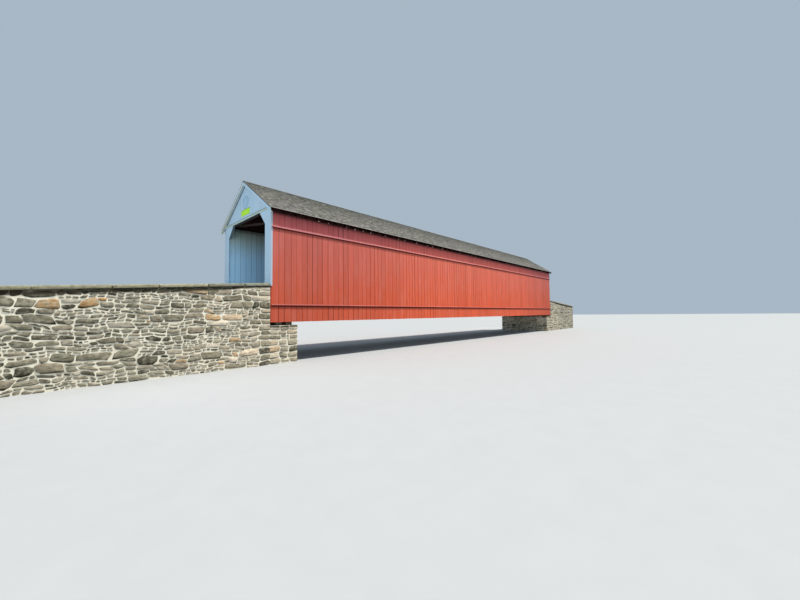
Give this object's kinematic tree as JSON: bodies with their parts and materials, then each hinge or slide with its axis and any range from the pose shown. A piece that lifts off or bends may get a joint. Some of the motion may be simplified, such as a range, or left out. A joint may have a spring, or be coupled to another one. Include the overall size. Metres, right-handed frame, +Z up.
{
  "type": "covered bridge, 1:2 scale model",
  "caption": "Long timber covered bridge with plank lattice side trusses, boarded sides, shingled gable roof and stone wing walls; scale model at half size.",
  "frame": {"origin": "on the creek level, under the middle of the bridge", "axes": "+X along the bridge from the near portal to the far one, +Y across it from the front side to the back, +Z up"},
  "size_m": [27.372, 3.15, 4.7565],
  "materials": {
    "stonework": "rough",
    "coping_stone": "rough",
    "truss_timber": "rough sawn, aged",
    "floor_timber": "rough sawn, aged",
    "deck_planks": "worn",
    "roof_timber": "rough sawn",
    "shingles": "weathered",
    "red_boards": "flat paint",
    "pale_boards": "flat paint",
    "lining_boards": "flat paint",
    "yellow_plate": "satin",
    "grey_plate": "satin"
  },
  "bodies": {
    "root": {"near_abutment": "stonework", "far_abutment": "stonework", "near_front_wing_wall": "stonework", "near_back_wing_wall": "stonework", "far_front_wing_wall": "stonework", "far_back_wing_wall": "stonework", "near_copings": "coping_stone", "far_copings": "coping_stone", "bed_timbers": "floor_timber", "front_lattice": "truss_timber", "back_lattice": "truss_timber", "front_chords": "truss_timber", "back_chords": "truss_timber", "end_posts": "truss_timber", "floor_beams": "floor_timber", "stringers": "floor_timber", "deck": "deck_planks", "bottom_braces": "floor_timber", "tie_beams": "truss_timber", "knee_braces": "truss_timber", "top_braces": "truss_timber", "front_rafters": "roof_timber", "back_rafters": "roof_timber", "roof_lath": "roof_timber", "front_roof": "shingles", "back_roof": "shingles", "ridge_boards": "shingles", "near_rake_boards": "pale_boards", "far_rake_boards": "pale_boards", "siding_rails": "truss_timber", "front_lower_siding": "red_boards", "front_main_siding": "red_boards", "front_upper_siding": "red_boards", "front_ledges": "red_boards", "back_lower_siding": "red_boards", "back_main_siding": "red_boards", "back_upper_siding": "red_boards", "back_ledges": "red_boards", "near_gable": "pale_boards", "near_portal_jambs": "pale_boards", "near_portal_corners": "pale_boards", "near_portal_trim": "pale_boards", "far_gable": "pale_boards", "far_portal_jambs": "pale_boards", "far_portal_corners": "pale_boards", "far_portal_trim": "pale_boards", "portal_linings": "lining_boards", "clearance_plate": "yellow_plate", "round_plate": "grey_plate"}
  },
  "joints": []
}
